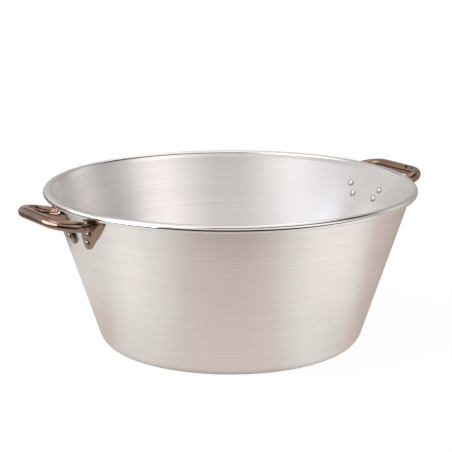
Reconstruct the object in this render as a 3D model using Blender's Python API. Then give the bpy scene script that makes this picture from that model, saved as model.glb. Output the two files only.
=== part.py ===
"""Jam pan: a spun aluminium preserving pan with two riveted tube handles.

The pan is one sheet, spun to a flat floor, a rounded corner and a wall that leans out,
and rolled over at the top into a hollow bead. Each handle is a hollow tube, bent to a C,
whose ends meet the raised necks of two leaf-shaped plates that lie on the wall. Two
rivets hold each plate.

Frame: metres, +Z up, origin at the middle of the base, the handles on +X and -X.
"""
import math

import bmesh
import bpy
from mathutils import Matrix, Vector

MM = 0.001

# Pan sizes
RIM_DIAMETER = 366.8 * MM        # over the rolled bead
PAN_HEIGHT = 158.0 * MM          # base to the top of the bead
FLOOR_DIAMETER = 227.0 * MM      # flat part of the floor, outside
CORNER_RADIUS = 18.4 * MM        # floor to wall, outside
SHEET = 1.8 * MM                 # thickness of the spun sheet
BEAD_DIAMETER = 7.6 * MM         # rolled rim, outside

# Handle sizes
TUBE_DIAMETER = 10.5 * MM
TUBE_WALL = 1.2 * MM
HANDLE_WIDTH = 82.4 * MM         # widest distance between the centrelines of the legs
BEND_RADIUS = 19.7 * MM          # of the centreline
TURN_IN = math.radians(46.0)     # how far each leg turns in towards its plate
HANDLE_REACH = 28.8 * MM         # outer edge of the bead to the centreline of the grip
GRIP_DROP = 6.9 * MM             # top of the bead down to the centreline of the grip
HANDLE_RISE = math.radians(10.6)
VENT_DIAMETER = 3.5 * MM         # lets hot air out of the hollow tube
VENT_ALONG = 17.0 * MM           # from the middle of the grip
VENT_ANGLE = math.radians(118.0)  # round the tube, from straight out over the top

# Plate sizes, from the middle of the neck's foot: across is round the pan, away from
# the middle of the handle, and up is measured vertically
PLATE_THICKNESS = 2.4 * MM
PLATE_INNER = 20.4 * MM          # across to the straight inner edge
PLATE_OUTER = 20.7 * MM          # across to the top outer corner
PLATE_TOP = 4.6 * MM             # up to the top edge
PLATE_DROP = 31.5 * MM           # down to where the two long edges would meet
BELLY_ACROSS = 10.0 * MM         # the outer edge swells a little at this point
BELLY_DROP = 7.0 * MM
NECK_LENGTH = 7.0 * MM           # raised from the plate's face to the end of the tube
NECK_FOOT = 14.6 * MM            # diameter where the neck leaves the plate
SHOULDER_RADIUS = 25.5 * MM
TIP_RADIUS = 5.0 * MM
BELLY_RADIUS = 100.0 * MM
TOP_CORNER_RADIUS = 1.5 * MM

# Rivet sizes; each place is measured in and down from the neck's foot
RIVET_SHANK = 4.4 * MM
RIVET_HEAD_INSIDE = 6.9 * MM
RIVET_HEAD_OUTSIDE = 6.2 * MM
RIVET_DOME_INSIDE = 1.7 * MM
RIVET_DOME_OUTSIDE = 1.7 * MM
UPPER_RIVET = (6.7 * MM, 8.9 * MM)
LOWER_RIVET = (13.3 * MM, 18.4 * MM)

# Clearances
SEAT = 0.3 * MM                  # between pieces that touch
LIP_GAP = 0.4 * MM               # edge of the rolled rim to the wall
RIVET_PLAY = 0.3 * MM            # round a rivet's shank
BEAD_GAP = 0.5 * MM              # a plate's neck to the rolled rim above it

# Smoothness
NECK_STEPS = 3
NECK_SIDES = 16
PAN_STEPS = 96
CORNER_STEPS = 5
BEAD_STEPS = 9
FINE_STEPS = 192
BEND_STEP = math.radians(10.7)


class Pan:
    """Where the sheet runs: two circles, at the corner and in the bead, and the wall between."""
    bead_r = BEAD_DIAMETER / 2
    corner = Vector((FLOOR_DIAMETER / 2, CORNER_RADIUS))
    bead = Vector((RIM_DIAMETER / 2 - bead_r, PAN_HEIGHT - bead_r))
    span = bead - corner
    # The wall's outer face touches both circles, with the corner inside it and the bead outside
    lean = math.acos((CORNER_RADIUS + bead_r - SHEET) / span.length) - math.atan2(span.y, span.x)
    normal = Vector((math.cos(lean), -math.sin(lean)))
    foot = corner + normal * CORNER_RADIUS

    @classmethod
    def wall_radius(cls, height, out=0.0):
        """Radius of the wall's outer face, or of a cone that lies `out` beyond it."""
        return cls.foot.x + (height - cls.foot.y) * math.tan(cls.lean) + out / math.cos(cls.lean)


def arc(centre, radius, start, end, steps):
    """Points along an arc, both ends included."""
    turns = [start + (end - start) * i / steps for i in range(steps + 1)]
    return [Vector((centre[0] + radius * math.cos(t), centre[1] + radius * math.sin(t))) for t in turns]


def sheet_face(side):
    """One face of the sheet, from the axis to the lip. Side +1 is the outside, -1 the inside."""
    half = SHEET / 2
    corner_r = CORNER_RADIUS - half + side * half
    bead_r = Pan.bead_r - half - side * half
    start = math.pi - Pan.lean
    lip = -Pan.lean - math.acos(-(Pan.bead_r - SHEET - LIP_GAP) / Pan.bead_r)
    points = [Vector((0.0, half - side * half))]
    points += arc(Pan.corner, corner_r, -math.pi / 2, -Pan.lean, CORNER_STEPS)
    points += arc(Pan.bead, bead_r, start, lip, BEAD_STEPS)
    return points


def new_material(name, colour, roughness, metallic):
    material = bpy.data.materials.new(name)
    material.use_nodes = True
    shader = material.node_tree.nodes["Principled BSDF"]
    shader.inputs["Base Color"].default_value = (*colour, 1.0)
    shader.inputs["Roughness"].default_value = roughness
    shader.inputs["Metallic"].default_value = metallic
    return material


def link(name, mesh, matrix=None):
    obj = bpy.data.objects.new(name, mesh)
    bpy.context.scene.collection.objects.link(obj)
    if matrix is not None:
        obj.matrix_world = matrix
    return obj


def finish(bm, name, smooth=35.0):
    """Close a bmesh into a mesh with its faces out, smooth but for edges sharper than `smooth`."""
    bmesh.ops.remove_doubles(bm, verts=bm.verts, dist=1e-6)
    bmesh.ops.recalc_face_normals(bm, faces=bm.faces)
    mesh = bpy.data.meshes.new(name)
    bm.to_mesh(mesh)
    bm.free()
    mesh.shade_smooth()
    mesh.set_sharp_from_angle(angle=math.radians(smooth))
    return mesh


def turned(name, profile, steps):
    """A solid turned about Z from (radius, height) points, open or closed at the axis."""
    bm = bmesh.new()
    verts = [bm.verts.new((p[0], 0.0, p[1])) for p in profile]
    edges = [bm.edges.new(pair) for pair in zip(verts, verts[1:])]
    bmesh.ops.spin(bm, geom=verts + edges, cent=(0, 0, 0), axis=(0, 0, 1),
                   angle=2 * math.pi, steps=steps, use_merge=True)
    return finish(bm, name)


def pin(radius, bottom, top, sides=24):
    """A plain cylinder along Z, as a bmesh."""
    bm = bmesh.new()
    bmesh.ops.create_cone(bm, cap_ends=True, segments=sides, radius1=radius, radius2=radius,
                          depth=top - bottom, matrix=Matrix.Translation((0, 0, (top + bottom) / 2)))
    return bm


def cutter(name, mesh, matrix=None):
    obj = link(name, mesh, matrix)
    obj.hide_render = True
    obj.display_type = "WIRE"
    return obj


def cut(obj, tool, operation="DIFFERENCE"):
    modifier = obj.modifiers.new(tool.name, "BOOLEAN")
    modifier.object = tool
    modifier.operation = operation
    modifier.solver = "EXACT"


def bake(obj):
    """The object's mesh with its modifiers applied."""
    bpy.context.view_layer.update()
    seen = obj.evaluated_get(bpy.context.evaluated_depsgraph_get())
    mesh = bpy.data.meshes.new_from_object(seen)
    mesh.name = obj.name
    mesh.shade_smooth()
    mesh.set_sharp_from_angle(angle=math.radians(35.0))
    return mesh


def rounded(corners):
    """A closed outline whose corners, given as (x, y, radius), are rounded off.

    Where two roundings would run into each other on one edge, both are made smaller.
    """
    count = len(corners)
    places = [Vector(corner[:2]) for corner in corners]
    openings = [(places[i - 1] - here).angle(places[(i + 1) % count] - here)
                for i, here in enumerate(places)]
    wanted = [corner[2] / math.tan(opening / 2) for corner, opening in zip(corners, openings)]
    lengths = [(places[(i + 1) % count] - places[i]).length for i in range(count)]
    room = [min(1.0, 0.98 * lengths[i] / (wanted[i] + wanted[(i + 1) % count])) for i in range(count)]
    points = []
    for i, (here, opening) in enumerate(zip(places, openings)):
        back = (places[i - 1] - here).normalized()
        ahead = (places[(i + 1) % count] - here).normalized()
        tangent = wanted[i] * min(room[i - 1], room[i])
        radius = tangent * math.tan(opening / 2)
        start = here + back * tangent
        end = here + ahead * tangent
        centre = here + (back + ahead).normalized() * radius / math.sin(opening / 2)
        first = start - centre
        turn = math.atan2(first.cross(end - centre), first.dot(end - centre))
        steps = max(2, round(abs(turn) / math.radians(12.0)))
        begin = math.atan2(first.y, first.x)
        points += arc(centre, radius, begin, begin + turn, steps)
    return points


class Handle:
    """The handle on +X. Its centreline lies in a plane that rises away from the pan."""
    grip_x = RIM_DIAMETER / 2 + HANDLE_REACH
    grip_z = PAN_HEIGHT - GRIP_DROP
    half_grip = HANDLE_WIDTH / 2 - BEND_RADIUS
    leg = Vector((-math.sin(TURN_IN), -math.cos(TURN_IN)))   # (across, out) along a leg, inwards
    leg_start = Vector((half_grip, -BEND_RADIUS)) + Vector((-leg.y, leg.x)) * BEND_RADIUS

    @classmethod
    def place(cls, across, out):
        """A point of the handle's plane; `out` is from the grip, and negative towards the pan."""
        return Vector((cls.grip_x + out * math.cos(HANDLE_RISE), across,
                       cls.grip_z + out * math.sin(HANDLE_RISE)))

    @classmethod
    def foot(cls):
        """Where the back leg's centreline meets the outer face of its plate."""
        near, far = 0.0, 0.1
        for _ in range(40):
            middle = (near + far) / 2
            p = cls.place(*(cls.leg_start + cls.leg * middle))
            outside = math.hypot(p.x, p.y) > Pan.wall_radius(p.z, SEAT + PLATE_THICKNESS)
            near, far = (middle, far) if outside else (near, middle)
        return p

    @classmethod
    def leg_frame(cls, sign):
        """Matrix at a leg's foot, with its Z axis out along the leg; sign -1 is the front one."""
        foot = cls.foot()
        axis = cls.place(*cls.leg_start) - cls.place(*(cls.leg_start + cls.leg))
        flip = Vector((1, sign, 1))
        turn = (axis * flip).to_track_quat("Z", "X").to_matrix().to_4x4()
        return Matrix.Translation(foot * flip) @ turn

    @classmethod
    def centreline(cls):
        """The tube's path, with both ends carried on past the plates and the wall."""
        end = cls.leg_start + cls.leg * HANDLE_REACH
        steps = max(4, math.ceil((math.pi / 2 + TURN_IN) / BEND_STEP))
        bend = arc((cls.half_grip, -BEND_RADIUS), BEND_RADIUS, -TURN_IN, math.pi / 2, steps)
        half = [end] + bend
        other = [Vector((-p.x, p.y)) for p in reversed(half)]
        return [cls.place(*p) for p in half + other]


def swept(name, path, radius, resolution):
    """A round bar along a path, with capped ends."""
    curve = bpy.data.curves.new(name, "CURVE")
    curve.dimensions = "3D"
    curve.twist_mode = "Z_UP"
    curve.bevel_depth = radius
    curve.bevel_resolution = resolution
    curve.use_fill_caps = True
    spline = curve.splines.new("POLY")
    spline.points.add(len(path) - 1)
    for point, place in zip(spline.points, path):
        point.co = (*place, 1.0)
    obj = link(name, curve)
    mesh = bake(obj)
    bpy.data.objects.remove(obj)
    bm = bmesh.new()
    bm.from_mesh(mesh)
    return finish(bm, name)


def wall_frame(across, height):
    """Matrix at a point of the wall's outer face, with its Z axis straight out of the wall."""
    radius = Pan.wall_radius(height)
    turn = Matrix.Rotation(math.asin(across / radius), 4, "Z")
    return turn @ Matrix.Translation((radius, 0, height)) @ Matrix.Rotation(math.pi / 2 + Pan.lean, 4, "Y")


def rivet_places():
    """Matrices of a handle's four rivets by name; front is -Y."""
    foot = Handle.foot()
    places = {}
    for side, sign in (("front", -1), ("back", 1)):
        for level, (inwards, down) in (("upper", UPPER_RIVET), ("lower", LOWER_RIVET)):
            places[f"{side}_{level}"] = wall_frame(sign * (foot.y - inwards), foot.z - down)
    return places


def rivet_mesh():
    """Domed head inside the pan, shank, and domed head on the plate; Z runs outwards."""
    edge = 0.25 * MM

    def dome(head, base, height):
        radius = head / 2
        return [Vector((radius * math.cos(t), base + math.copysign(edge, height)
                        + (height - math.copysign(edge, height)) * math.sin(t)))
                for t in [math.pi / 2 * i / 3 for i in range(4)]]

    inner = -SHEET - SEAT
    outer = SEAT + PLATE_THICKNESS + SEAT
    low = dome(RIVET_HEAD_INSIDE, inner, -RIVET_DOME_INSIDE)
    high = dome(RIVET_HEAD_OUTSIDE, outer, RIVET_DOME_OUTSIDE)
    profile = low[::-1] + [Vector((RIVET_HEAD_INSIDE / 2, inner)), Vector((RIVET_SHANK / 2, inner)),
                           Vector((RIVET_SHANK / 2, outer)), Vector((RIVET_HEAD_OUTSIDE / 2, outer))] + high
    profile[0].x = profile[-1].x = 0.0
    return turned("rivet", profile, 14)


def neck_mesh(sign):
    """The raised neck: rings that turn from the wall's own slope to the leg's, and narrow."""
    frame = Handle.leg_frame(sign)
    foot = frame.translation
    axis = frame.col[2].to_3d()
    normal = wall_frame(foot.y, foot.z).col[2].to_3d()
    rings = [(foot - normal * 3 * PLATE_THICKNESS, normal, NECK_FOOT / 2)]
    for i in range(NECK_STEPS + 1):
        t = i / NECK_STEPS
        radius = TUBE_DIAMETER / 2 + (NECK_FOOT - TUBE_DIAMETER) / 2 * (1 - t) ** 2
        rings.append((foot + axis * NECK_LENGTH * t, normal.slerp(axis, t), radius))
    bm = bmesh.new()
    loops = []
    for centre, facing, radius in rings:
        turn = facing.to_track_quat("Z", "X").to_matrix().to_4x4()
        made = bmesh.ops.create_circle(bm, segments=NECK_SIDES, radius=radius,
                                       matrix=Matrix.Translation(centre) @ turn)
        loops.append(made["verts"])
    edges = [list({e for v in loop for e in v.link_edges}) for loop in loops]
    for lower, upper in zip(edges, edges[1:]):
        bmesh.ops.bridge_loops(bm, edges=lower + upper)
    bm.faces.new(loops[0])
    bm.faces.new(loops[-1])
    return finish(bm, "neck")


def plate_mesh(sign, shell, wall, bead, holes):
    """One plate: its outline run straight in through a shell that lies on the wall, with its neck."""
    foot = Handle.foot()
    corners = [(-PLATE_INNER, -PLATE_DROP, TIP_RADIUS), (BELLY_ACROSS, -BELLY_DROP, BELLY_RADIUS),
               (PLATE_OUTER, PLATE_TOP, TOP_CORNER_RADIUS), (-PLATE_INNER, PLATE_TOP, SHOULDER_RADIUS)]
    outline = [(sign * (foot.y + p.x), foot.z + p.y) for p in rounded(corners)]
    bm = bmesh.new()
    face = bm.faces.new([bm.verts.new((0.6 * RIM_DIAMETER, y, z)) for y, z in outline])
    pushed = bmesh.ops.extrude_face_region(bm, geom=[face])
    moved = [v for v in pushed["geom"] if isinstance(v, bmesh.types.BMVert)]
    bmesh.ops.translate(bm, verts=moved, vec=(-0.3 * RIM_DIAMETER, 0, 0))
    obj = link("plate", finish(bm, "plate"))
    neck = cutter("neck", neck_mesh(sign))
    cut(obj, shell, "INTERSECT")
    cut(obj, neck, "UNION")
    for tool in (wall, bead, holes):
        cut(obj, tool)
    mesh = bake(obj)
    bpy.data.objects.remove(obj)
    bpy.data.objects.remove(neck)
    return mesh


def clear_scene():
    for obj in list(bpy.data.objects):
        bpy.data.objects.remove(obj, do_unlink=True)


def main():
    clear_scene()
    aluminium = (0.80, 0.78, 0.76)
    bronze = (0.36, 0.27, 0.21)
    silver = (0.84, 0.83, 0.82)

    # Rivet holes, through the wall and the plates alike
    places = rivet_places()
    half_turn = Matrix.Rotation(math.pi, 4, "Z")
    bm = bmesh.new()
    for place in places.values():
        for turn in (Matrix.Identity(4), half_turn):
            hole = pin(RIVET_SHANK / 2 + RIVET_PLAY, -4 * SHEET, 4 * PLATE_THICKNESS)
            bmesh.ops.transform(hole, matrix=turn @ place, verts=hole.verts)
            loose = bpy.data.meshes.new("hole")
            hole.to_mesh(loose)
            hole.free()
            bm.from_mesh(loose)
            bpy.data.meshes.remove(loose)
    holes = cutter("rivet_holes", finish(bm, "rivet_holes"))

    # The pan: the outside of the sheet up and round the bead, then back down its inside
    profile = sheet_face(1) + sheet_face(-1)[::-1]
    pan = link("pan_body", turned("pan_body", profile, PAN_STEPS))
    cut(pan, holes)

    # The plates
    low, high = 0.4 * PAN_HEIGHT, PAN_HEIGHT
    inside, outside = SEAT, SEAT + PLATE_THICKNESS
    ring = [(Pan.wall_radius(low, inside), low), (Pan.wall_radius(low, outside), low),
            (Pan.wall_radius(high, outside), high), (Pan.wall_radius(high, inside), high)]
    shell = cutter("plate_shell", turned("plate_shell", ring + ring[:1], FINE_STEPS))
    wall = cutter("wall_face", turned("wall_face", [
        (0, 0), (Pan.wall_radius(0, SEAT), 0),
        (Pan.wall_radius(1.2 * high, SEAT), 1.2 * high), (0, 1.2 * high)], FINE_STEPS))
    round_bead = arc(Pan.bead, Pan.bead_r + BEAD_GAP, 0, 2 * math.pi, 24)
    bead = cutter("bead_clearance", turned("bead_clearance", round_bead, FINE_STEPS))
    plates = {side: plate_mesh(sign, shell, wall, bead, holes) for side, sign in (("front", -1), ("back", 1))}

    # The tube: bored, vented, and cut square where it meets the necks
    path = Handle.centreline()
    tube = link("tube", swept("tube", path, TUBE_DIAMETER / 2, 6))
    bore = cutter("tube_bore", swept("tube_bore", path, TUBE_DIAMETER / 2 - TUBE_WALL, 3))
    aim = Matrix.Rotation(math.pi / 2 - VENT_ANGLE - HANDLE_RISE, 4, "Y")
    spot = Matrix.Translation(Handle.place(-VENT_ALONG, 0.0))
    vent = cutter("vent_hole", finish(pin(VENT_DIAMETER / 2, 0.0, TUBE_DIAMETER, 16), "vent_hole"), spot @ aim)
    ends = [cutter(f"tube_end_{sign}", finish(pin(TUBE_DIAMETER, -HANDLE_REACH, NECK_LENGTH + SEAT), "end"),
                   Handle.leg_frame(sign)) for sign in (-1, 1)]
    for tool in (bore, vent, *ends):
        cut(tube, tool)
    tube_mesh = bake(tube)
    bpy.data.objects.remove(tube)

    # Both handles from the same meshes, the second turned half round the pan
    rivet = rivet_mesh()
    looks = {"pan_body": ("pan_aluminium", aluminium, 0.34, 1.0)}
    for hand, turn in (("right", 0.0), ("left", math.pi)):
        base = bpy.data.objects.new(f"handle_{hand}", None)
        bpy.context.scene.collection.objects.link(base)
        base.rotation_euler = (0.0, 0.0, turn)
        pieces = [(f"handle_{hand}_tube", tube_mesh, None)]
        pieces += [(f"handle_{hand}_plate_{side}", mesh, None) for side, mesh in plates.items()]
        for name, mesh, place in pieces:
            link(name, mesh, place).parent = base
            looks[name] = (name + "_steel", bronze, 0.18, 1.0)
        for where, place in places.items():
            name = f"rivet_{hand}_{where}"
            link(name, rivet, place).parent = base
            looks[name] = (name + "_aluminium", silver, 0.22, 1.0)
    for name, look in looks.items():
        obj = bpy.data.objects[name]
        if not obj.data.materials:
            obj.data.materials.append(None)
        obj.material_slots[0].link = "OBJECT"
        obj.material_slots[0].material = new_material(*look)
    bpy.context.view_layer.update()


main()
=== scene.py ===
"""Jam pan: finer metal pieces over the CAD frame, their finishes, a studio and a camera."""
import math

import bmesh
import bpy
from bpy.props import FloatProperty, FloatVectorProperty, PointerProperty
from mathutils import Matrix, Vector


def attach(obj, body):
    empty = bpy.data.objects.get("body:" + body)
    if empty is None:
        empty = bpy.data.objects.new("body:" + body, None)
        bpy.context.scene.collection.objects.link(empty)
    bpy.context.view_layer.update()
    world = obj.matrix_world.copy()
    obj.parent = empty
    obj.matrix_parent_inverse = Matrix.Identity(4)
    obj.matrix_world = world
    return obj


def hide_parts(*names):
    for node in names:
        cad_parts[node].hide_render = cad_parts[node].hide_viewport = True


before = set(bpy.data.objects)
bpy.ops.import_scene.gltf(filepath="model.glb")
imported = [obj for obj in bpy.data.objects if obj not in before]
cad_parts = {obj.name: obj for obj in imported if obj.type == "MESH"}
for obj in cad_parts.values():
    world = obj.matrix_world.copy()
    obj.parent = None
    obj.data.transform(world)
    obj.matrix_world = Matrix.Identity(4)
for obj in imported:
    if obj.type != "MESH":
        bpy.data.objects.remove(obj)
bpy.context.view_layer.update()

bl_info = {
    "name": "Jam Pan",
    "version": (1, 0, 0),
    "blender": (4, 5, 0),
    "location": "View3D > Sidebar > Jam Pan",
    "description": "Builds the spun pan with its handles, plates and rivets, and a studio round it",
    "category": "Object",
}

HALF_TURN = Matrix.Rotation(math.pi, 4, "Z")
DETAIL = 1.0

# How many steps each round shape takes at full detail
PAN_STEPS = 288
CORNER_STEPS = 16
BEAD_STEPS = 30
BEAD_ROOM_STEPS = 40
TUBE_STEPS = 56
BEND_STEPS = 40
VENT_STEPS = 40
PLATE_CORNER_STEPS = 14
NECK_STEPS = 16
WELD_STEPS = 64
RIVET_STEPS = 40
DOME_STEPS = 10
# These two stay the same at any detail
PLATE_EDGE_SEGMENTS = 4
WELD_SEGMENTS = 14

# Distances in metres that the making and the stage need
MERGE = 1e-6
LONGEST_LEG = 0.1
PLATE_CELL = 0.0016
NECK_SINK = 0.00014
HEAD_EDGE = 0.00025
TABLE_HALF = 6.0
TABLE_DROP = 0.0003
CAMERA_SEES = (0.05, 40.0)

SHARP_FROM = math.radians(38.0)
HALVINGS = 40
LEGS_FROM = 0.6  # of the bend's radius, in from the grip
CORNER_ROOM = 0.98  # of a side, for the roundings at its two ends
WELD_SINK = 0.22  # of the weld's thickness, inside the tube's skin

# Scales per metre of the noises that are drawn out into lines: two across, and one along the sheet or up
FINE_DRIFT = 4.0
BROAD_LINES = (2.5, 2.5, 260.0)
COARSE_LINES = (1.5, 1.5, 60.0)
POLISH_LINES = (260.0, 60.0, 420.0)
SCRATCH_LINES = (900.0, 45.0, 300.0)
# Where a noise starts to count, and where it counts in full
LINE_SHADES = (0.36, 0.66)
SMUDGES = (0.56, 0.74)
BRONZE_CLOUDS = (0.35, 0.7)
SCRATCHES = (0.66, 0.74)
WELD_STAINS = (0.35, 0.65)
RIVET_FILM = (0.4, 0.7)
# Heights in metres between which the wall's finish turns to the rim's
RIM_FINISH = (0.1512, 0.1530)
# Distances in metres from the wall's outer face, over which a rivet's head turns to the tinted one
TINT_EDGE = (-0.0005, 0.0005)

# Grey levels round the room and the table: degrees from the camera's side round to the right, and a level
ROOM_LEVELS = ((-180, 0.42), (-125, 0.58), (-75, 0.49), (-50, 0.62), (-25, 0.59), (16, 0.63), (50, 0.98),
               (64, 0.86), (82, 0.46), (98, 0.37), (122, 0.62), (140, 0.34), (155, 0.34), (180, 0.42))
HIGH_LEVELS = ((-180, 0.20), (-108, 0.20), (-80, 0.7), (-52, 1.0), (-12, 0.01), (120, 0.01), (150, 0.20),
               (180, 0.20))
NEAR_LEVELS = ((-180, 0.62), (-80, 0.58), (-62, 0.70), (-42, 0.76), (-20, 0.71), (20, 0.71), (38, 0.83),
               (62, 0.66), (90, 0.50), (115, 0.46), (180, 0.62))
FAR_LEVELS = ((-180, 0.65), (-80, 0.80), (-57, 1.0), (-22, 0.69), (6, 0.65), (22, 0.72), (46, 0.98),
              (70, 0.97), (92, 0.67), (150, 0.42), (180, 0.65))

# Heights in the room, as sines of the angle above level, between which one light turns to the next
HIGH_FROM = (0.50, 0.64)
CEILING_FROM = (0.76, 0.88)
# From, to and softness: round the room in turns from the far side, and up in sines
GAP_ROUND, GAP_UP = (0.036, 0.086, 0.018), (0.40, 0.60, 0.05)
WINDOW_ROUND, WINDOW_UP = (0.945, 0.985, 0.014), (0.66, 0.78, 0.04)

# On the table, in metres from the pan's axis: start and end, and for two of them the share of light at each
FAR_FROM = (0.10, 0.26)
FRONT_EDGE = (-0.40, -0.24, 0.02, 1.0)
# CONTACT_SHADE paints a shadow into the table's glow close under the base
CONTACT_SHADE = (0.114, 0.132, 0.45, 1.0)
LEFT_REACH, LEFT_SIDE = (0.31, 0.42), (-0.10, -0.25)
# Levels between which the table's painted glow turns from the warm colour of its painted shade to its own tint
WARM_LEVELS = (0.63, 0.80)
DIMMED = 0.65  # how much the gap in the room and the left of the table are dimmed
WHITE = 1.06  # a little over one, so the camera sees clean white
LAMP_AIM = (0.68, 0.52)  # how far the lamp's aim goes, as shares of its distances


def length(name, description, default):
    return FloatProperty(name=name, description=description, default=default, unit="LENGTH", precision=4)


def turn(name, description, degrees):
    return FloatProperty(name=name, description=description, default=math.radians(degrees), unit="ROTATION")


def share(name, description, default, highest=1.0):
    return FloatProperty(name=name, description=description, default=default, min=0.0, max=highest)


def colour(name, description, default):
    return FloatVectorProperty(name=name, description=description, default=default, subtype="COLOR",
                               min=0.0, max=1.0)


class JamPanSizes(bpy.types.PropertyGroup):
    """The sizes of the pan and its fittings, as the CAD model has them. The weld is in this scene alone."""
    rim_diameter: length("Rim Diameter", "Over the rolled rim", 0.3668)
    height: length("Height", "From the base to the top of the rim", 0.158)
    floor_diameter: length("Floor Diameter", "Flat part of the base", 0.227)
    corner_radius: length("Corner Radius", "From floor to wall, outside", 0.0184)
    sheet: length("Sheet", "Thickness of the spun sheet", 0.0018)
    bead_diameter: length("Bead Diameter", "Rolled rim, outside", 0.0076)
    lip_gap: length("Lip Gap", "From the edge of the rolled rim to the wall", 0.0004)
    seat: length("Seat", "Gap between pieces that touch", 0.0003)
    bead_gap: length("Bead Gap", "From a neck to the rolled rim above it", 0.0005)

    tube_diameter: length("Tube Diameter", "Of a handle's tube", 0.0105)
    tube_wall: length("Tube Wall", "Thickness of the tube's wall", 0.0012)
    handle_width: length("Handle Width", "Widest distance between a handle's legs", 0.0824)
    bend_radius: length("Bend Radius", "Of a handle's centreline", 0.0197)
    turn_in: turn("Turn In", "How far a leg turns in towards its plate", 46.0)
    handle_reach: length("Handle Reach", "From the rim out to the middle of the grip", 0.0288)
    grip_drop: length("Grip Drop", "From the rim's top down to the middle of the grip", 0.0069)
    handle_rise: turn("Handle Rise", "Slope of the handle's plane", 10.6)
    vent_diameter: length("Vent Diameter", "Hole that lets hot air out of the tube", 0.0035)
    vent_along: length("Vent Along", "From the middle of the grip to the vent", 0.017)
    vent_angle: turn("Vent Angle", "Round the tube, from straight out over the top", 118.0)

    plate_thickness: length("Plate Thickness", "Of the four plates", 0.0024)
    plate_inner: length("Plate Inner", "From the neck to the plate's inner edge", 0.0204)
    plate_outer: length("Plate Outer", "From the neck to the top outer corner", 0.0207)
    plate_top: length("Plate Top", "From the neck up to the top edge", 0.0046)
    plate_drop: length("Plate Drop", "From the neck down to where the long edges would meet", 0.0315)
    belly_across: length("Belly Across", "From the neck to the swell of the outer edge", 0.010)
    belly_drop: length("Belly Drop", "From the neck down to the swell", 0.007)
    shoulder_radius: length("Shoulder Radius", "Top inner corner", 0.0255)
    tip_radius: length("Tip Radius", "Lower end", 0.005)
    belly_radius: length("Belly Radius", "Swell of the outer edge", 0.1)
    top_corner_radius: length("Top Corner Radius", "Top outer corner", 0.0015)
    plate_edge: length("Plate Edge", "Rounding of the plate's outer rim", 0.0006)
    neck_length: length("Neck Length", "From the plate's face to the end of the tube", 0.007)
    neck_foot: length("Neck Foot", "Width of the neck where it leaves the plate", 0.0176)
    weld: length("Weld", "Thickness of the weld round the tube's end", 0.0011)

    shank: length("Rivet Shank", "Diameter of a rivet's shank", 0.0044)
    head_inside: length("Head Inside", "Diameter of the head inside the pan", 0.0069)
    head_outside: length("Head Outside", "Diameter of the head on the plate", 0.0062)
    dome: length("Dome", "Height of a rivet's head", 0.0017)
    upper_in: length("Upper Rivet In", "From the neck towards the handle's middle", 0.0067)
    upper_down: length("Upper Rivet Down", "Below the neck", 0.0089)
    lower_in: length("Lower Rivet In", "From the neck towards the handle's middle", 0.0133)
    lower_down: length("Lower Rivet Down", "Below the neck", 0.0184)


class JamPanLooks(bpy.types.PropertyGroup):
    """Colours and polish of the metals."""
    aluminium: colour("Aluminium", "Colour of the pan", (0.87, 0.852, 0.838))
    aluminium_dull: colour("Dull Aluminium", "Colour in the turned lines and smudges", (0.74, 0.715, 0.695))
    pan_roughness: share("Pan Roughness", "Of the turned sheet", 0.26)
    rim_roughness: share("Rim Roughness", "Of the rolled rim, which is smoother", 0.13)
    line_pitch: length("Line Pitch", "Between the lines that the turning leaves", 0.0008)
    line_depth: length("Line Depth", "Of the turned lines", 0.000012)
    line_colour: share("Line Colour", "How much the turned lines show in the colour", 0.3)
    line_gloss: share("Line Gloss", "How much the turned lines show in the roughness", 0.09)
    smudge_colour: share("Smudge Colour", "How much the smudges show in the colour", 0.08)
    smudge_gloss: share("Smudge Gloss", "How much the smudges show in the roughness", 0.03)
    bronze: colour("Bronze", "Colour of the handles", (0.30, 0.197, 0.145))
    bronze_pale: colour("Pale Bronze", "Colour where the tint is thin", (0.36, 0.25, 0.19))
    bronze_roughness: share("Bronze Roughness", "Of the polished handles", 0.07)
    scratch: colour("Scratch", "Colour in the hairline scratches", (0.62, 0.52, 0.45))
    weld_stain: colour("Weld Stain", "Colour of the heat stains on the welds", (0.20, 0.13, 0.10))
    weld_roughness: share("Weld Roughness", "Of the welds between their ripples", 0.2)
    rivet: colour("Rivet", "Colour of the heads inside the pan", (0.70, 0.665, 0.65))
    rivet_tinted: colour("Tinted Rivet", "Colour of the heads outside, tinted with the plates",
                         (0.24, 0.175, 0.135))
    rivet_roughness: share("Rivet Roughness", "Of the rivets' heads", 0.07)


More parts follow.
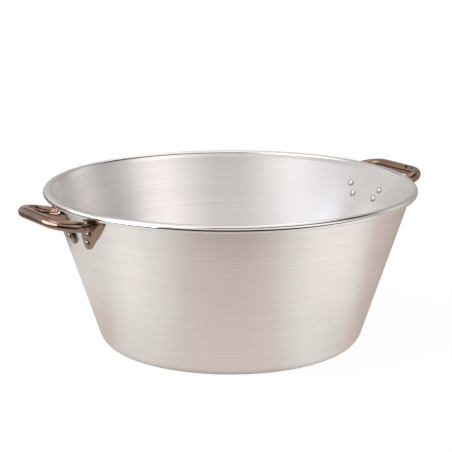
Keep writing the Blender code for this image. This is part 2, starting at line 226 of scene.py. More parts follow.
class JamPanStudio(bpy.types.PropertyGroup):
    """Where the camera stands, and how the studio is lit."""
    camera_distance: length("Camera Distance", "From the pan's axis, level", 1.51619)
    camera_height: length("Camera Height", "Above the base", 0.47274)
    camera_round: turn("Camera Round", "How far the right handle is turned away from the camera", 33.4)
    camera_tilt: turn("Camera Tilt", "Down from level", 13.269)
    camera_swing: turn("Camera Swing", "To the left of the pan's axis", 0.17)
    camera_roll: turn("Camera Roll", "Of the camera", -0.09)
    lens: FloatProperty(name="Lens", description="Focal length in millimetres", default=125.3, min=1.0)
    table: colour("Table", "Colour of the table", (0.86, 0.85, 0.84))
    table_tint: colour("Table Tint", "Colour of the table as the metal shows it", (1.0, 0.955, 0.925))
    # Warm colour of the painted shade in the glow that the metal sees on the table
    table_warm: colour("Warm Table", "Colour of the dim part of the table", (1.0, 0.845, 0.775))
    glow: share("Glow", "How white the camera sees the table, shadow and all", 0.88)
    glow_round: share("Level Light", "Light of the room at the height of the pan", 1.3, 4.0)
    high_light: share("High Light", "Light of the room above the pan", 3.2, 6.0)
    ceiling: share("Ceiling", "Light of the ceiling", 1.02, 4.0)
    window: share("Window", "Light of the small window behind the pan", 2.4, 6.0)
    room_tint: colour("Room Tint", "Colour of the light at the height of the pan", (1.0, 0.955, 0.953))
    high_tint: colour("High Tint", "Colour of the light above the pan, which is cooler", (0.97, 0.94, 0.955))
    lamp_tint: colour("Lamp Tint", "Colour of the low soft lamp", (0.80, 0.89, 1.0))
    lamp_power: FloatProperty(name="Lamp Power", description="Of the low soft lamp on the left", default=2.2,
                              unit="POWER")
    lamp_width: length("Lamp Width", "Of the soft lamp", 0.66)
    lamp_height: length("Lamp Height", "Of the soft lamp", 0.25)
    lamp_left: length("Lamp Left", "From the pan's axis", 0.53)
    lamp_front: length("Lamp Front", "From the pan's axis towards the camera", 0.23)
    lamp_up: length("Lamp Up", "Middle of the lamp above the table", 0.175)


# Shader maths


class Term:
    """A shader socket that can be used in a sum. Each operator adds a Math node."""

    def __init__(self, net, socket):
        self.net = net
        self.socket = socket

    def maths(self, operation, *values):
        return self.net.node("ShaderNodeMath", {"operation": operation}, dict(enumerate(values)))

    def __add__(self, other):
        return self.maths("ADD", self, other)

    def __radd__(self, other):
        return self.maths("ADD", other, self)

    def __sub__(self, other):
        return self.maths("SUBTRACT", self, other)

    def __rsub__(self, other):
        return self.maths("SUBTRACT", other, self)

    def __mul__(self, other):
        return self.maths("MULTIPLY", self, other)

    def __rmul__(self, other):
        return self.maths("MULTIPLY", other, self)

    def __truediv__(self, other):
        return self.maths("DIVIDE", self, other)

    def __pow__(self, other):
        return self.maths("POWER", self, other)


class Net:
    """The nodes of one material or world."""

    def __init__(self, owner):
        owner.use_nodes = True
        self.tree = owner.node_tree
        self.tree.nodes.clear()

    def node(self, kind, settings=None, sockets=None, out=0):
        """Add a node, set it up, fill or link its inputs, and give back one of its outputs."""
        made = self.tree.nodes.new(kind)
        for name, value in (settings or {}).items():
            if name == "stops":
                ramp = made.color_ramp
                while len(ramp.elements) < len(value):
                    ramp.elements.new(0.5)
                for stop, (position, tint) in zip(ramp.elements, value):
                    stop.position = position
                    stop.color = (*tint, 1.0)
            else:
                setattr(made, name, value)
        for name, value in (sockets or {}).items():
            if isinstance(value, Term):
                self.tree.links.new(value.socket, made.inputs[name])
            elif hasattr(value, "__len__") and made.inputs[name].type == "RGBA" and len(value) == 3:
                made.inputs[name].default_value = (*value, 1.0)
            else:
                made.inputs[name].default_value = value
        return Term(self, made.outputs[out]) if made.outputs else made

    def place(self):
        """The object coordinates."""
        return self.node("ShaderNodeTexCoord", out="Object")

    def parts(self, vector):
        """The three parts of a vector."""
        return tuple(self.node("ShaderNodeSeparateXYZ", None, {0: vector}, out=i) for i in range(3))

    def vector(self, x, y, z):
        return self.node("ShaderNodeCombineXYZ", None, {0: x, 1: y, 2: z})

    def noise(self, at, scale, detail, roughness=0.5):
        return self.node("ShaderNodeTexNoise", None,
                         {"Vector": at, "Scale": scale, "Detail": detail, "Roughness": roughness})

    def lines(self, parts, scales, detail, roughness=0.5):
        """Noise drawn out into lines: each part of the place has its own scale."""
        drawn = self.vector(*(part * scale for part, scale in zip(parts, scales)))
        return self.noise(drawn, 1.0, detail, roughness)

    def fade(self, value, start, end, low=0.0, high=1.0):
        """A smooth step from `low` at `start` to `high` at `end`."""
        return self.node("ShaderNodeMapRange", {"interpolation_type": "SMOOTHSTEP"},
                         {"Value": value, "From Min": start, "From Max": end, "To Min": low, "To Max": high})

    def band(self, value, low, high, soft):
        """One between `low` and `high`, falling to nothing over `soft` at each side."""
        return (self.fade(value, low - soft, low + soft)
                * self.fade(value, high - soft, high + soft, 1.0, 0.0))

    def mix(self, factor, first, second):
        """Mix two colours."""
        return self.node("ShaderNodeMix", {"data_type": "RGBA"}, {0: factor, 6: first, 7: second}, out=2)

    def surface(self, **sockets):
        """A Principled shader with the given sockets, sent to the output."""
        named = {name.replace("_", " ").title(): value for name, value in sockets.items()}
        shader = self.node("ShaderNodeBsdfPrincipled", None, named)
        self.node("ShaderNodeOutputMaterial", None, {"Surface": shader})


def bump(net, height, distance, strength):
    return net.node("ShaderNodeBump", None, {"Height": height, "Distance": distance, "Strength": strength})


def turned_aluminium(looks):
    """Satin aluminium with fine lines round the pan, smoother on the rim."""
    finish = bpy.data.materials.new("turned_aluminium")
    net = Net(finish)
    at = net.place()
    x, y, z = net.parts(at)
    on_sheet = (x, y, (x * x + y * y) ** 0.5 + z)
    fine = net.lines(on_sheet, (FINE_DRIFT, FINE_DRIFT, 1.0 / looks.line_pitch), detail=3.0)
    broad = net.lines(on_sheet, BROAD_LINES, detail=2.0)
    coarse = net.lines(on_sheet, COARSE_LINES, detail=1.0)
    smudge = net.fade(net.noise(at, scale=16.0, detail=3.0), *SMUDGES)
    rim = net.fade(z, *RIM_FINISH)
    lines = fine * 0.45 + broad * 0.35 + coarse * 0.2
    dull = net.fade(lines, *LINE_SHADES) * looks.line_colour + smudge * looks.smudge_colour
    tint = net.mix(dull * (1.0 - rim * 0.6), looks.aluminium, looks.aluminium_dull)
    satin = looks.pan_roughness + (lines - 0.5) * looks.line_gloss + smudge * looks.smudge_gloss
    roughness = satin * (1.0 - rim) + rim * (looks.rim_roughness + (fine - 0.5) * 0.06)
    height = fine * 0.8 + broad * (0.4 - rim * 0.35)
    net.surface(base_color=tint, metallic=1.0, roughness=roughness,
                normal=bump(net, height, distance=looks.line_depth * 3.0, strength=0.5))
    return finish


def bronzed_steel(looks):
    """Polished steel with a thin bronze tint, faint polishing marks and a few hairline scratches."""
    finish = bpy.data.materials.new("bronzed_steel")
    net = Net(finish)
    at = net.place()
    parts = net.parts(at)
    cloud = net.noise(at, scale=34.0, detail=3.0)
    grain = net.lines(parts, POLISH_LINES, detail=4.0, roughness=0.6)
    scratch = net.fade(net.lines(parts, SCRATCH_LINES, detail=1.0), *SCRATCHES)
    tint = net.mix(net.fade(cloud, *BRONZE_CLOUDS), looks.bronze, looks.bronze_pale)
    tint = net.mix(scratch * 0.12, tint, looks.scratch)
    roughness = looks.bronze_roughness + cloud * 0.04 + (grain - 0.5) * 0.04 + scratch * 0.06
    height = cloud * 0.5 + grain * 0.05 - scratch * 0.02
    net.surface(base_color=tint, metallic=1.0, roughness=roughness,
                normal=bump(net, height, distance=0.00025, strength=0.5))
    return finish


def weld_metal(looks):
    """The heat-stained weld round a tube's end, with fine ripples."""
    finish = bpy.data.materials.new("weld_metal")
    net = Net(finish)
    at = net.place()
    ripple = net.noise(at, scale=900.0, detail=2.0)
    stain = net.noise(at, scale=160.0, detail=2.0)
    tint = net.mix(net.fade(stain, *WELD_STAINS), looks.bronze, looks.weld_stain)
    net.surface(base_color=tint, metallic=1.0, roughness=looks.weld_roughness + ripple * 0.25,
                normal=bump(net, ripple, distance=0.0002, strength=0.6))
    return finish


def rivet_metal(looks):
    """Metal set with a punch, so a little uneven: bright inside the pan, tinted outside it."""
    finish = bpy.data.materials.new("rivet_metal")
    net = Net(finish)
    at = net.place()
    x, y, z = net.parts(at)
    dent = net.noise(at, scale=420.0, detail=2.0)
    film = net.noise(at, scale=120.0, detail=3.0)
    pan = PanShape(bpy.context.scene.jam_pan_sizes)
    outside = net.fade((x * x + y * y) ** 0.5 - pan.wall_radius(z), *TINT_EDGE)
    tint = net.mix(outside, looks.rivet, looks.rivet_tinted)
    worn = net.mix(net.fade(film, *RIVET_FILM) * 0.12, tint, looks.aluminium_dull)
    net.surface(base_color=worn, metallic=1.0, roughness=looks.rivet_roughness + film * 0.12,
                normal=bump(net, dent, distance=0.00025, strength=0.5))
    return finish


# Shapes


class PanShape:
    """Where the spun sheet runs: round a circle at the corner, up the wall, and round one in the bead."""

    def __init__(self, sizes):
        self.bead_r = sizes.bead_diameter / 2
        self.corner = Vector((sizes.floor_diameter / 2, 0, sizes.corner_radius))
        self.bead = Vector((sizes.rim_diameter / 2 - self.bead_r, 0, sizes.height - self.bead_r))
        span = self.bead - self.corner
        gap = sizes.corner_radius + self.bead_r - sizes.sheet
        self.lean = math.acos(gap / span.length) - math.atan2(span.z, span.x)
        self.foot = self.corner + Vector((math.cos(self.lean), 0, -math.sin(self.lean))) * sizes.corner_radius

    def wall_radius(self, height, out=0.0):
        """Radius of the wall's outer face, or of a cone that lies `out` beyond it."""
        return self.foot.x + (height - self.foot.z) * math.tan(self.lean) + out / math.cos(self.lean)

    def wall_frame(self, across, height):
        """Matrix at a point of the wall's outer face, with its Z axis straight out of the wall."""
        radius = self.wall_radius(height)
        spin = Matrix.Rotation(math.asin(across / radius), 4, "Z")
        tip = Matrix.Rotation(math.pi / 2 + self.lean, 4, "Y")
        return spin @ Matrix.Translation((radius, 0, height)) @ tip


class HandleShape:
    """The handle on +X: its plane, the centreline's bends and the feet of its legs.

    In its own plane X runs across, Y out from the pan, and the origin is the middle of the grip.
    """

    def __init__(self, sizes, pan):
        rise = sizes.handle_rise
        grip = Vector((sizes.rim_diameter / 2 + sizes.handle_reach, 0, sizes.height - sizes.grip_drop))
        across, out = Vector((0, 1, 0)), Vector((math.cos(rise), 0, math.sin(rise)))
        turned = Matrix((across, out, across.cross(out))).transposed()
        self.matrix = Matrix.Translation(grip) @ turned.to_4x4()
        self.half_grip = sizes.handle_width / 2 - sizes.bend_radius
        self.bend = Vector((self.half_grip, -sizes.bend_radius, 0))
        self.leg = Vector((-math.sin(sizes.turn_in), -math.cos(sizes.turn_in), 0))
        self.leg_start = self.bend + Vector((-self.leg.y, self.leg.x, 0)) * sizes.bend_radius
        near, far = 0.0, LONGEST_LEG
        for _ in range(HALVINGS):
            middle = (near + far) / 2
            p = self.matrix @ (self.leg_start + self.leg * middle)
            face = pan.wall_radius(p.z, sizes.seat + sizes.plate_thickness)
            near, far = (middle, far) if math.hypot(p.x, p.y) > face else (near, middle)
        self.foot_along = near
        self.foot = self.matrix @ (self.leg_start + self.leg * near)

    def leg_frame(self, sign):
        """Matrix at a leg's foot, with its Z axis out along the leg; sign -1 is the front one."""
        flip = Vector((1, sign, 1))
        axis = self.matrix.to_3x3() @ -self.leg * flip
        return Matrix.Translation(self.foot * flip) @ axis.to_track_quat("Z", "X").to_matrix().to_4x4()


def shapes(context):
    sizes = context.scene.jam_pan_sizes
    pan = PanShape(sizes)
    return sizes, pan, HandleShape(sizes, pan)


def steps(count):
    return max(6, int(count * DETAIL))


def once(parts):
    """Each part once, in the order given. A set's order would change from run to run."""
    return list(dict.fromkeys(parts))


def to_mesh(bm, name):
    """Close a bmesh into a smooth mesh with its faces out."""
    bmesh.ops.remove_doubles(bm, verts=bm.verts, dist=MERGE)
    bmesh.ops.recalc_face_normals(bm, faces=bm.faces)
    mesh = bpy.data.meshes.new(name)
    bm.to_mesh(mesh)
    bm.free()
    soften(mesh)
    return mesh


def soften(mesh):
    mesh.shade_smooth()
    mesh.set_sharp_from_angle(angle=SHARP_FROM)


def link(name, mesh):
    obj = bpy.data.objects.new(name, mesh)
    bpy.context.scene.collection.objects.link(obj)
    return obj


def baked(name, mesh, *changes):
    """The mesh with Solidify and Boolean changes applied; a Boolean's mesh is used and removed."""
    obj = link(name, mesh)
    tools = []
    for kind, value in changes:
        modifier = obj.modifiers.new(kind, "SOLIDIFY" if kind == "SOLIDIFY" else "BOOLEAN")
        if kind == "SOLIDIFY":
            modifier.thickness = value
            modifier.offset = -1.0
            modifier.use_even_offset = True
        else:
            tools.append(link("tool", value))
            modifier.operation = kind
            modifier.solver = "EXACT"
            modifier.object = tools[-1]
    bpy.context.view_layer.update()
    seen = obj.evaluated_get(bpy.context.evaluated_depsgraph_get())
    result = bpy.data.meshes.new_from_object(seen)
    for used in [obj, *tools]:
        bpy.data.objects.remove(used)
    soften(result)
    return result


def add_piece(name, mesh, node, finish):
    """A finished piece: it rides with the pan, and stands for a CAD node where one is given."""
    obj = link(name, mesh)
    obj.data.materials.clear()
    obj.data.materials.append(finish)
    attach(obj, "root")
    if node:
        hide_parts(node)


def material(make):
    """The material that a function makes, made once."""
    found = bpy.data.materials.get(make.__name__)
    return found or make(bpy.context.scene.jam_pan_looks)


def run_to(bm, vert, place):
    """Carry a profile on to a point."""
    made = bmesh.ops.extrude_vert_indiv(bm, verts=[vert])["verts"][0]
    made.co = place
    return made


def run_round(bm, vert, centre, angle, count):
    """Carry a profile on round a centre in the XZ plane; a positive angle turns from +X to +Z."""
    made = bmesh.ops.spin(bm, geom=[vert], cent=centre, axis=(0, -1, 0), angle=angle, steps=count)
    return next(v for v in made["geom_last"] if isinstance(v, bmesh.types.BMVert))


def on_circle(centre, radius, angle):
    return centre + Vector((math.cos(angle), 0, math.sin(angle))) * radius


def full_turn(bm, count):
    bmesh.ops.spin(bm, geom=bm.verts[:] + bm.edges[:], cent=(0, 0, 0), axis=(0, 0, 1),
                   angle=2 * math.pi, steps=count, use_merge=True)


def pan_mesh(sizes, pan):
    """The sheet's outer face from the axis up and round the bead, then its inner face back down."""
    corner_turn = math.pi / 2 - pan.lean
    inside_r = pan.bead_r - sizes.sheet
    bead_turn = math.pi + math.acos(-(inside_r - sizes.lip_gap) / pan.bead_r)
    start = math.pi - pan.lean
    corner_steps, bead_steps = steps(CORNER_STEPS), steps(BEAD_STEPS)
    bm = bmesh.new()
    vert = bm.verts.new((0, 0, 0))
    vert = run_to(bm, vert, (pan.corner.x, 0, 0))
    vert = run_round(bm, vert, pan.corner, corner_turn, corner_steps)
    vert = run_to(bm, vert, on_circle(pan.bead, inside_r, start))
    vert = run_round(bm, vert, pan.bead, -bead_turn, bead_steps)
    vert = run_to(bm, vert, on_circle(pan.bead, pan.bead_r, start - bead_turn))
    vert = run_round(bm, vert, pan.bead, bead_turn, bead_steps)
    vert = run_to(bm, vert, on_circle(pan.corner, sizes.corner_radius - sizes.sheet, -pan.lean))
    vert = run_round(bm, vert, pan.corner, -corner_turn, corner_steps)
    run_to(bm, vert, (0, 0, sizes.sheet))
    full_turn(bm, steps(PAN_STEPS))
    return to_mesh(bm, "spun_pan")


def verts_in(geom):
    return [v for v in geom if isinstance(v, bmesh.types.BMVert)]


def edges_in(geom):
    return [e for e in geom if isinstance(e, bmesh.types.BMEdge)]


def draw_out(bm, rim, way):
    """Carry a ring of edges straight on, and give back the new ring."""
    made = bmesh.ops.extrude_edge_only(bm, edges=rim)["geom"]
    bmesh.ops.translate(bm, verts=verts_in(made), vec=way)
    return [e for e in edges_in(made) if e.is_boundary]


def tube_mesh(sizes, handle):
    """Half the tube is drawn out from the grip, bent and cut square at the neck, then mirrored."""
    bm = bmesh.new()
    bmesh.ops.create_circle(bm, segments=steps(TUBE_STEPS), radius=sizes.tube_diameter / 2,
                            matrix=Matrix.Rotation(math.pi / 2, 4, "Y"))
    rim = draw_out(bm, bm.edges[:], (handle.half_grip, 0, 0))
    bent = bmesh.ops.spin(bm, geom=once(v for e in rim for v in e.verts) + rim, cent=handle.bend,
                          axis=(0, 0, -1), angle=math.pi / 2 + sizes.turn_in, steps=steps(BEND_STEPS))
    draw_out(bm, edges_in(bent["geom_last"]), handle.leg * sizes.bend_radius)
    end = handle.leg_start + handle.leg * (handle.foot_along - sizes.neck_length - sizes.seat)
    legs = [f for f in bm.faces if max(v.co.y for v in f.verts) < -LEGS_FROM * sizes.bend_radius]
    parts = legs + once(e for f in legs for e in f.edges) + once(v for f in legs for v in f.verts)
    bmesh.ops.bisect_plane(bm, geom=parts, plane_co=end, plane_no=handle.leg, clear_outer=True)
    bmesh.ops.mirror(bm, geom=bm.verts[:] + bm.edges[:] + bm.faces[:], matrix=Matrix.Identity(4),
                     merge_dist=MERGE, axis="X")
    bmesh.ops.transform(bm, matrix=handle.matrix, verts=bm.verts)
    return to_mesh(bm, "bent_tube")


def vent_mesh(sizes, handle):
    """The drill that makes the vent hole."""
    aim = math.atan2(-math.cos(sizes.vent_angle), -math.sin(sizes.vent_angle))
    spot = handle.matrix @ Matrix.Translation((-sizes.vent_along, 0, 0)) @ Matrix.Rotation(aim, 4, "X")
    bm = bmesh.new()
    bmesh.ops.create_cone(bm, cap_ends=True, segments=steps(VENT_STEPS), radius1=sizes.vent_diameter / 2,
                          radius2=sizes.vent_diameter / 2, depth=sizes.tube_diameter,
                          matrix=spot @ Matrix.Translation((0, 0, sizes.tube_diameter / 2)))
    return to_mesh(bm, "vent_drill")


def plate_corners(sizes):
    """The plate's corners from the neck's foot, each with the length that its rounding takes."""
    corners = [(-sizes.plate_inner, -sizes.plate_drop, sizes.tip_radius),
               (sizes.belly_across, -sizes.belly_drop, sizes.belly_radius),
               (sizes.plate_outer, sizes.plate_top, sizes.top_corner_radius),
               (-sizes.plate_inner, sizes.plate_top, sizes.shoulder_radius)]
    places = [Vector(corner[:2]) for corner in corners]
    ahead = [places[(i + 1) % 4] - places[i] for i in range(4)]
    wanted = [corners[i][2] / math.tan((-ahead[i - 1]).angle(ahead[i]) / 2) for i in range(4)]
    room = [min(1.0, CORNER_ROOM * ahead[i].length / (wanted[i] + wanted[(i + 1) % 4])) for i in range(4)]
    return [(places[i], wanted[i] * min(room[i - 1], room[i])) for i in range(4)]


def plate_mesh(sizes, pan, handle, sign):
    """A flat blank with rounded corners and edges, pressed to lie on the leaning wall."""
    foot = handle.foot
    bm = bmesh.new()
    corners = plate_corners(sizes)
    verts = [bm.verts.new((0, sign * (foot.y + p.x), foot.z + p.y)) for p, _ in corners]
    bm.faces.new(verts)
    for vert, (_, cut) in zip(verts, corners):
        bmesh.ops.bevel(bm, geom=[vert], offset=cut, offset_type="OFFSET", segments=steps(PLATE_CORNER_STEPS),
                        profile=0.5, affect="VERTICES", material=-1)
    made = bmesh.ops.extrude_face_region(bm, geom=bm.faces[:])["geom"]
    bmesh.ops.translate(bm, verts=verts_in(made), vec=(sizes.plate_thickness, 0, 0))
    bmesh.ops.recalc_face_normals(bm, faces=bm.faces)
    rim = [e for e in edges_in(made) if all(v.co.x > sizes.plate_thickness / 2 for v in e.verts)]
    bmesh.ops.bevel(bm, geom=rim, offset=sizes.plate_edge, offset_type="OFFSET",
                    segments=PLATE_EDGE_SEGMENTS, profile=0.5, affect="EDGES", material=-1)
    for side in (1, 2):
        low, high = min(v.co[side] for v in bm.verts), max(v.co[side] for v in bm.verts)
        count = int((high - low) / PLATE_CELL * DETAIL)
        for i in range(1, count):
            at = Vector((0, 0, 0))
            at[side] = low + (high - low) * i / count
            facing = Vector((0, 0, 0))
            facing[side] = 1
            bmesh.ops.bisect_plane(bm, geom=bm.verts[:] + bm.edges[:] + bm.faces[:],
                                   plane_co=at, plane_no=facing)
    for v in bm.verts:
        radius = pan.wall_radius(v.co.z, sizes.seat + v.co.x)
        v.co.x = math.sqrt(radius * radius - v.co.y * v.co.y)
    return to_mesh(bm, "pressed_plate")


def neck_mesh(sizes, pan, handle, sign):
    """Rings that flare from the tube's end down into the plate, and settle on the wall's curve."""
    turned = handle.leg_frame(sign)
    foot, axis = turned.translation, turned.col[2].to_3d()
    wall = pan.wall_frame(foot.y, foot.z)
    normal, across = wall.col[2].to_3d(), wall.col[1].to_3d()
    tube_r, foot_r = sizes.tube_diameter / 2, sizes.neck_foot / 2
    bm = bmesh.new()
    loops = []
    count = steps(NECK_STEPS)
    for i in range(-1, count + 1):
        angle = math.pi / 2 * max(i, 0) / count
        radius = tube_r + (foot_r - tube_r) * (1 - math.sin(angle))
        centre = foot + axis * sizes.neck_length * (1 - math.cos(angle))
        sink = normal * (sizes.plate_thickness / 2 if i < 0 else NECK_SINK)
        facing = normal.slerp(axis, angle / (math.pi / 2))
        spin = facing.to_track_quat("Z", "X").to_matrix().to_4x4()
        ring = bmesh.ops.create_circle(bm, segments=steps(TUBE_STEPS), radius=radius,
                                       matrix=Matrix.Translation(centre - sink) @ spin)["verts"]
        for v in ring:
            aside = (v.co - foot).dot(across) * math.cos(angle) ** 2
            v.co -= normal * aside * aside / (2 * pan.wall_radius(foot.z))
        loops.append(once(e for v in ring for e in v.link_edges))
    for lower, upper in zip(loops, loops[1:]):
        bmesh.ops.bridge_loops(bm, edges=lower + upper)
    for end in (loops[0], loops[-1]):
        bmesh.ops.edgeloop_fill(bm, edges=end)
    return to_mesh(bm, "flared_neck")


def bead_mesh(sizes, pan):
    """The room that the rolled rim needs above a neck."""
    bm = bmesh.new()
    bmesh.ops.create_circle(bm, segments=steps(BEAD_ROOM_STEPS), radius=pan.bead_r + sizes.bead_gap,
                            matrix=Matrix.Translation(pan.bead) @ Matrix.Rotation(math.pi / 2, 4, "X"))
    full_turn(bm, steps(PAN_STEPS))
    return to_mesh(bm, "bead_room")


def weld_mesh(sizes, handle, sign):
    """A thin ring of weld where the tube meets the neck."""
    bm = bmesh.new()
    middle = Vector((sizes.tube_diameter / 2 - sizes.weld * WELD_SINK, 0, sizes.neck_length + sizes.seat / 2))
    bmesh.ops.create_circle(bm, segments=WELD_SEGMENTS, radius=sizes.weld / 2,
                            matrix=Matrix.Translation(middle) @ Matrix.Rotation(math.pi / 2, 4, "X"))
    full_turn(bm, steps(WELD_STEPS))
    bmesh.ops.transform(bm, matrix=handle.leg_frame(sign), verts=bm.verts)
    return to_mesh(bm, "weld_ring")


def rivet_mesh(sizes):
    """Domed head inside the pan, shank, and domed head on the plate; Z runs outwards."""
    inner = -sizes.sheet - sizes.seat
    outer = sizes.seat + sizes.plate_thickness + sizes.seat
    rise = sizes.dome - HEAD_EDGE
    bm = bmesh.new()
    low, high = sizes.head_inside / 2, sizes.head_outside / 2
    low_ball, high_ball = ((r * r + rise * rise) / (2 * rise) for r in (low, high))
    vert = bm.verts.new((0, 0, inner - sizes.dome))
    vert = run_round(bm, vert, (0, 0, inner - sizes.dome + low_ball), math.asin(low / low_ball),
                     steps(DOME_STEPS))
    for place in ((low, inner), (sizes.shank / 2, inner), (sizes.shank / 2, outer), (high, outer),
                  (high, outer + HEAD_EDGE)):
        vert = run_to(bm, vert, (place[0], 0, place[1]))
    run_round(bm, vert, (0, 0, outer + sizes.dome - high_ball), math.asin(high / high_ball),
              steps(DOME_STEPS))
    full_turn(bm, steps(RIVET_STEPS))
    return to_mesh(bm, "solid_rivet")


def both_hands(mesh):
    """The mesh for the right handle, and a copy turned half round the pan for the left one."""
    other = mesh.copy()
    other.transform(HALF_TURN)
    return (("right", mesh), ("left", other))


# One operator for each kind of piece


class JAMPAN_OT_spin_pan(bpy.types.Operator):
    """Spin the pan's sheet, with its floor, corner, wall and rolled rim"""
    bl_idname = "jam_pan.spin_pan"
    bl_label = "Spin Pan"

    def execute(self, context):
        sizes, pan, _ = shapes(context)
        add_piece("spun_pan", pan_mesh(sizes, pan), "pan_body", material(turned_aluminium))
        return {"FINISHED"}


class JAMPAN_OT_bend_tubes(bpy.types.Operator):
    """Bend the two hollow handles and drill their vent holes"""
    bl_idname = "jam_pan.bend_tubes"
    bl_label = "Bend Tubes"

    def execute(self, context):
        sizes, _, handle = shapes(context)
        tube = baked("tube", tube_mesh(sizes, handle), ("SOLIDIFY", sizes.tube_wall),
                     ("DIFFERENCE", vent_mesh(sizes, handle)))
        for hand, mesh in both_hands(tube):
            add_piece(f"bent_tube_{hand}", mesh, f"handle_{hand}_tube", material(bronzed_steel))
        return {"FINISHED"}


class JAMPAN_OT_press_plates(bpy.types.Operator):
    """Press the four plates with their flared necks"""
    bl_idname = "jam_pan.press_plates"
    bl_label = "Press Plates"

    def execute(self, context):
        sizes, pan, handle = shapes(context)
        for side, sign in (("front", -1), ("back", 1)):
            plate = baked("plate", plate_mesh(sizes, pan, handle, sign),
                          ("UNION", neck_mesh(sizes, pan, handle, sign)), ("DIFFERENCE", bead_mesh(sizes, pan)))
            for hand, mesh in both_hands(plate):
                add_piece(f"pressed_plate_{hand}_{side}", mesh, f"handle_{hand}_plate_{side}",
                          material(bronzed_steel))
        return {"FINISHED"}


class JAMPAN_OT_weld_tubes(bpy.types.Operator):
    """Lay the thin welds where the tubes meet the necks"""
    bl_idname = "jam_pan.weld_tubes"
    bl_label = "Weld Tubes"

    def execute(self, context):
        sizes, _, handle = shapes(context)
        for side, sign in (("front", -1), ("back", 1)):
            for hand, mesh in both_hands(weld_mesh(sizes, handle, sign)):
                add_piece(f"weld_ring_{hand}_{side}", mesh, None, material(weld_metal))
        return {"FINISHED"}


class JAMPAN_OT_set_rivets(bpy.types.Operator):
    """Set the eight rivets through the plates and the wall"""
    bl_idname = "jam_pan.set_rivets"
    bl_label = "Set Rivets"

    def execute(self, context):
        sizes, pan, handle = shapes(context)
        foot = handle.foot
        rivet = rivet_mesh(sizes)
        levels = (("upper", sizes.upper_in, sizes.upper_down), ("lower", sizes.lower_in, sizes.lower_down))
        for side, sign in (("front", -1), ("back", 1)):
            for level, inwards, down in levels:
                mesh = rivet.copy()
                mesh.transform(pan.wall_frame(sign * (foot.y - inwards), foot.z - down))
                for hand, made in both_hands(mesh):
                    add_piece(f"solid_rivet_{hand}_{side}_{level}", made, f"rivet_{hand}_{side}_{level}",
                              material(rivet_metal))
        bpy.data.meshes.remove(rivet)
        return {"FINISHED"}


def camera_frame(studio):
    """Where the camera stands, and its turn, in the pan's own frame."""
    round_turn = Matrix.Rotation(-studio.camera_round, 4, "Z")
    stand = round_turn @ Matrix.Translation((0, -studio.camera_distance, studio.camera_height))
    swing = Matrix.Rotation(studio.camera_swing, 4, "Z")
    tilt = Matrix.Rotation(math.pi / 2 - studio.camera_tilt, 4, "X")
    return stand @ swing @ tilt @ Matrix.Rotation(studio.camera_roll, 4, "Z")


def studio_way(net, studio, way):
    """A direction or place, turned by a fixed angle: to the right, away from the front, and up."""
    x, y, z = net.parts(way)
    c, s = math.cos(studio.camera_round), math.sin(studio.camera_round)
    return x * c - y * s, x * s + y * c, z


def turns_round(right, away):
    """The direction round the pan in turns: nothing on the far side, and a half in front."""
    return right.maths("ARCTAN2", right, away * -1.0) / (2.0 * math.pi) + 0.5


def round_ramp(net, turns, levels):
    """A grey level for each direction round the pan, from pairs of degrees and level."""
    stops = [((degrees + 180.0) / 360.0, (level, level, level)) for degrees, level in levels]
    return net.node("ShaderNodeValToRGB", {"stops": stops}, {"Fac": turns})


def studio_world(studio):
    """Soft light all round: level with the pan brightest in front on the right, above it in front on the left.

    The upper room is dark from the front round to the right. Behind the pan are a small window and, to its
    left, a dimmer gap.
    """
    world = bpy.data.worlds.new("studio_room")
    net = Net(world)
    right, away, up = studio_way(net, studio, net.node("ShaderNodeTexCoord", out="Generated"))
    turns = turns_round(right, away)
    level = round_ramp(net, turns, ROOM_LEVELS) * studio.glow_round
    high = round_ramp(net, turns, HIGH_LEVELS) * studio.high_light
    mid = net.fade(up, *HIGH_FROM)
    top = net.fade(up, *CEILING_FROM)
    light = level * (1.0 - mid) + high * mid
    light = light * (1.0 - top) + top * studio.ceiling
    gap = net.band(turns, *GAP_ROUND) * net.band(up, *GAP_UP)
    window = net.band(turns, *WINDOW_ROUND) * net.band(up, *WINDOW_UP)
    light = light * (1.0 - gap * DIMMED) + window * studio.window
    tint = net.mix(mid, studio.room_tint, studio.high_tint)
    seen = net.node("ShaderNodeLightPath", out="Is Camera Ray")
    shader = net.node("ShaderNodeBackground", None, {"Color": net.mix(seen, tint, (1.0, 1.0, 1.0)),
                                                     "Strength": seen * WHITE + (1.0 - seen) * light})
    net.node("ShaderNodeOutputWorld", None, {"Surface": shader})
    return world


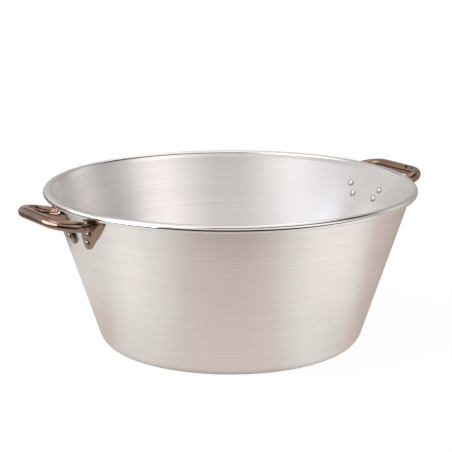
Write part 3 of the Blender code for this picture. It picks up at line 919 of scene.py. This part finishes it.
def table_top(studio):
    """A pale table, which the camera sees white. To reflections it glows instead, with painted shade in greys.

    The glow is dimmer straight in front of the pan and on the right, holds a painted shadow close under the
    base, and ends before the camera.
    """
    finish = bpy.data.materials.new("table_top")
    net = Net(finish)
    at = net.place()
    right, away, _ = studio_way(net, studio, at)
    reach = (right * right + away * away) ** 0.5
    turns = turns_round(right, away)
    near = round_ramp(net, turns, NEAR_LEVELS)
    far = round_ramp(net, turns, FAR_LEVELS)
    out = net.fade(reach, *FAR_FROM)
    level = near * (1.0 - out) + far * out
    shade = net.fade(level, *WARM_LEVELS, 1.0, 0.0)
    level = level * net.fade(away, *FRONT_EDGE)
    # Painted shadow in the glow close under the base
    level = level * net.fade(reach, *CONTACT_SHADE)
    level = level * (1.0 - net.fade(reach, *LEFT_REACH) * net.fade(right, *LEFT_SIDE) * DIMMED)
    shown_tint = net.mix(shade, studio.table_tint, studio.table_warm)
    grain = net.noise(at, scale=30.0, detail=2.0)
    tint = net.mix(grain, studio.table, tuple(0.98 * value for value in studio.table))
    seen = net.node("ShaderNodeLightPath", out="Is Camera Ray")
    mirrored = net.node("ShaderNodeLightPath", out="Is Glossy Ray")
    matt = net.node("ShaderNodeBsdfDiffuse", None, {"Color": tint})
    white = net.node("ShaderNodeEmission", None, {"Strength": WHITE})
    shown = net.node("ShaderNodeMixShader", None, {0: seen * studio.glow, 1: matt, 2: white})
    # What reflections see of the table: a glow with painted shade and a painted shadow, not the table lit by
    # the room
    painted_glow = net.node("ShaderNodeEmission", None, {"Color": shown_tint, "Strength": level})
    both = net.node("ShaderNodeMixShader", None, {0: mirrored, 1: shown, 2: painted_glow})
    net.node("ShaderNodeOutputMaterial", None, {"Surface": both})
    return finish


def soft_lamp(studio):
    """A low soft lamp beside the left handle."""
    data = bpy.data.lights.new("soft_lamp", "AREA")
    data.shape = "RECTANGLE"
    data.size, data.size_y = studio.lamp_width, studio.lamp_height
    data.energy = studio.lamp_power
    data.color = studio.lamp_tint
    lamp = bpy.data.objects.new("soft_lamp", data)
    turned = Matrix.Rotation(-studio.camera_round, 4, "Z")
    place = turned @ Vector((-studio.lamp_left, -studio.lamp_front, studio.lamp_up))
    aim = turned @ Vector((studio.lamp_left * LAMP_AIM[0], studio.lamp_front * LAMP_AIM[1], 0.0))
    lamp.matrix_world = Matrix.Translation(place) @ aim.to_track_quat("-Z", "Y").to_matrix().to_4x4()
    return lamp


class JAMPAN_OT_set_stage(bpy.types.Operator):
    """Set up the table, the light and the camera"""
    bl_idname = "jam_pan.set_stage"
    bl_label = "Set Stage"

    def execute(self, context):
        scene = context.scene
        studio = scene.jam_pan_studio
        bm = bmesh.new()
        bmesh.ops.create_grid(bm, x_segments=4, y_segments=4, size=TABLE_HALF,
                              matrix=Matrix.Translation((0, 0, -TABLE_DROP)))
        table = link("table", to_mesh(bm, "table"))
        table.data.materials.append(table_top(studio))
        scene.world = studio_world(studio)
        scene.collection.objects.link(soft_lamp(studio))
        data = bpy.data.cameras.new("photo_camera")
        data.lens = studio.lens
        data.clip_start, data.clip_end = CAMERA_SEES
        camera = bpy.data.objects.new("photo_camera", data)
        camera.matrix_world = camera_frame(studio)
        scene.collection.objects.link(camera)
        scene.camera = camera
        scene.view_settings.view_transform = "Standard"
        return {"FINISHED"}


OPERATORS = (JAMPAN_OT_spin_pan, JAMPAN_OT_bend_tubes, JAMPAN_OT_press_plates, JAMPAN_OT_weld_tubes,
             JAMPAN_OT_set_rivets, JAMPAN_OT_set_stage)


class JAMPAN_PT_panel(bpy.types.Panel):
    """Lists the pan's pieces, its looks and its studio"""
    bl_idname = "JAMPAN_PT_panel"
    bl_label = "Jam Pan"
    bl_space_type = "VIEW_3D"
    bl_region_type = "UI"
    bl_category = "Jam Pan"

    def draw(self, context):
        column = self.layout.column(align=True)
        for operator in OPERATORS:
            column.operator(operator.bl_idname)
        for group in (context.scene.jam_pan_sizes, context.scene.jam_pan_looks, context.scene.jam_pan_studio):
            box = self.layout.box()
            for name in group.__annotations__:
                box.prop(group, name)


GROUPS = {"jam_pan_sizes": JamPanSizes, "jam_pan_looks": JamPanLooks, "jam_pan_studio": JamPanStudio}


def register():
    for cls in (*GROUPS.values(), *OPERATORS, JAMPAN_PT_panel):
        bpy.utils.register_class(cls)
    for name, cls in GROUPS.items():
        setattr(bpy.types.Scene, name, PointerProperty(type=cls))


def unregister():
    for name in GROUPS:
        delattr(bpy.types.Scene, name)
    for cls in reversed((*GROUPS.values(), *OPERATORS, JAMPAN_PT_panel)):
        bpy.utils.unregister_class(cls)


def main():
    register()
    for operator in OPERATORS:
        area, name = operator.bl_idname.split(".")
        getattr(getattr(bpy.ops, area), name)()


if __name__ == "__main__":
    main()
